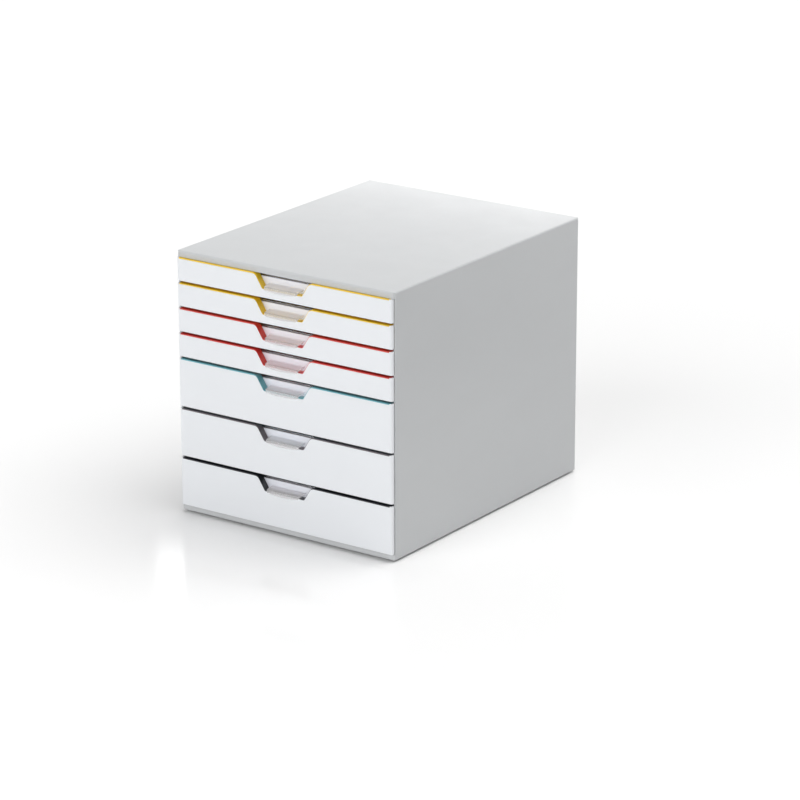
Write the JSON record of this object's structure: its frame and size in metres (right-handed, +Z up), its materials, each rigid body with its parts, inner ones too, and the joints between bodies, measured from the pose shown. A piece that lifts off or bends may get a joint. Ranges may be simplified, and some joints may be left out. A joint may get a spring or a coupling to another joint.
{
  "type": "desktop drawer tower",
  "caption": "Free-standing desktop drawer tower: grey plastic casing, white drawer fronts with coloured trays, each with a clear pull tab and label window.",
  "frame": {"origin": "under the middle of the whole outline, at the height of the surface that the feet stand on", "axes": "+X to the right seen from the front, +Y from the drawer fronts to the back, +Z up"},
  "size_m": [0.28, 0.356, 0.292],
  "materials": {
    "casing_grey": "fine satin grain",
    "foot_rubber": "matt",
    "front_white": "semi-gloss",
    "tray_yellow": "satin",
    "tray_red": "satin",
    "tray_teal": "satin",
    "tray_taupe": "satin",
    "tray_anthracite": "satin",
    "tab_clear": "clear, polished",
    "label_paper": "plain"
  },
  "bodies": {
    "casing": {"casing_shell": "casing_grey", "back_panel": "casing_grey", "foot_1": "foot_rubber", "foot_2": "foot_rubber", "foot_3": "foot_rubber", "foot_4": "foot_rubber"},
    "drawer_1": {"tray_1": "tray_yellow", "front_cap_1": "front_white", "pull_tab_1": "tab_clear", "label_card_1": "label_paper"},
    "drawer_2": {"tray_2": "tray_yellow", "front_cap_2": "front_white", "pull_tab_2": "tab_clear", "label_card_2": "label_paper"},
    "drawer_3": {"tray_3": "tray_red", "front_cap_3": "front_white", "pull_tab_3": "tab_clear", "label_card_3": "label_paper"},
    "drawer_4": {"tray_4": "tray_red", "front_cap_4": "front_white", "pull_tab_4": "tab_clear", "label_card_4": "label_paper"},
    "drawer_5": {"tray_5": "tray_teal", "front_cap_5": "front_white", "pull_tab_5": "tab_clear", "label_card_5": "label_paper"},
    "drawer_6": {"tray_6": "tray_taupe", "front_cap_6": "front_white", "pull_tab_6": "tab_clear", "label_card_6": "label_paper"},
    "drawer_7": {"tray_7": "tray_anthracite", "front_cap_7": "front_white", "pull_tab_7": "tab_clear", "label_card_7": "label_paper"}
  },
  "joints": [
    {"name": "drawer_1_slide", "type": "slide", "parent": "casing", "child": "drawer_1", "axis": [0, -1, 0], "range_m": [0, 0.24]},
    {"name": "drawer_2_slide", "type": "slide", "parent": "casing", "child": "drawer_2", "axis": [0, -1, 0], "range_m": [0, 0.24]},
    {"name": "drawer_3_slide", "type": "slide", "parent": "casing", "child": "drawer_3", "axis": [0, -1, 0], "range_m": [0, 0.24]},
    {"name": "drawer_4_slide", "type": "slide", "parent": "casing", "child": "drawer_4", "axis": [0, -1, 0], "range_m": [0, 0.24]},
    {"name": "drawer_5_slide", "type": "slide", "parent": "casing", "child": "drawer_5", "axis": [0, -1, 0], "range_m": [0, 0.24]},
    {"name": "drawer_6_slide", "type": "slide", "parent": "casing", "child": "drawer_6", "axis": [0, -1, 0], "range_m": [0, 0.24]},
    {"name": "drawer_7_slide", "type": "slide", "parent": "casing", "child": "drawer_7", "axis": [0, -1, 0], "range_m": [0, 0.24]}
  ]
}
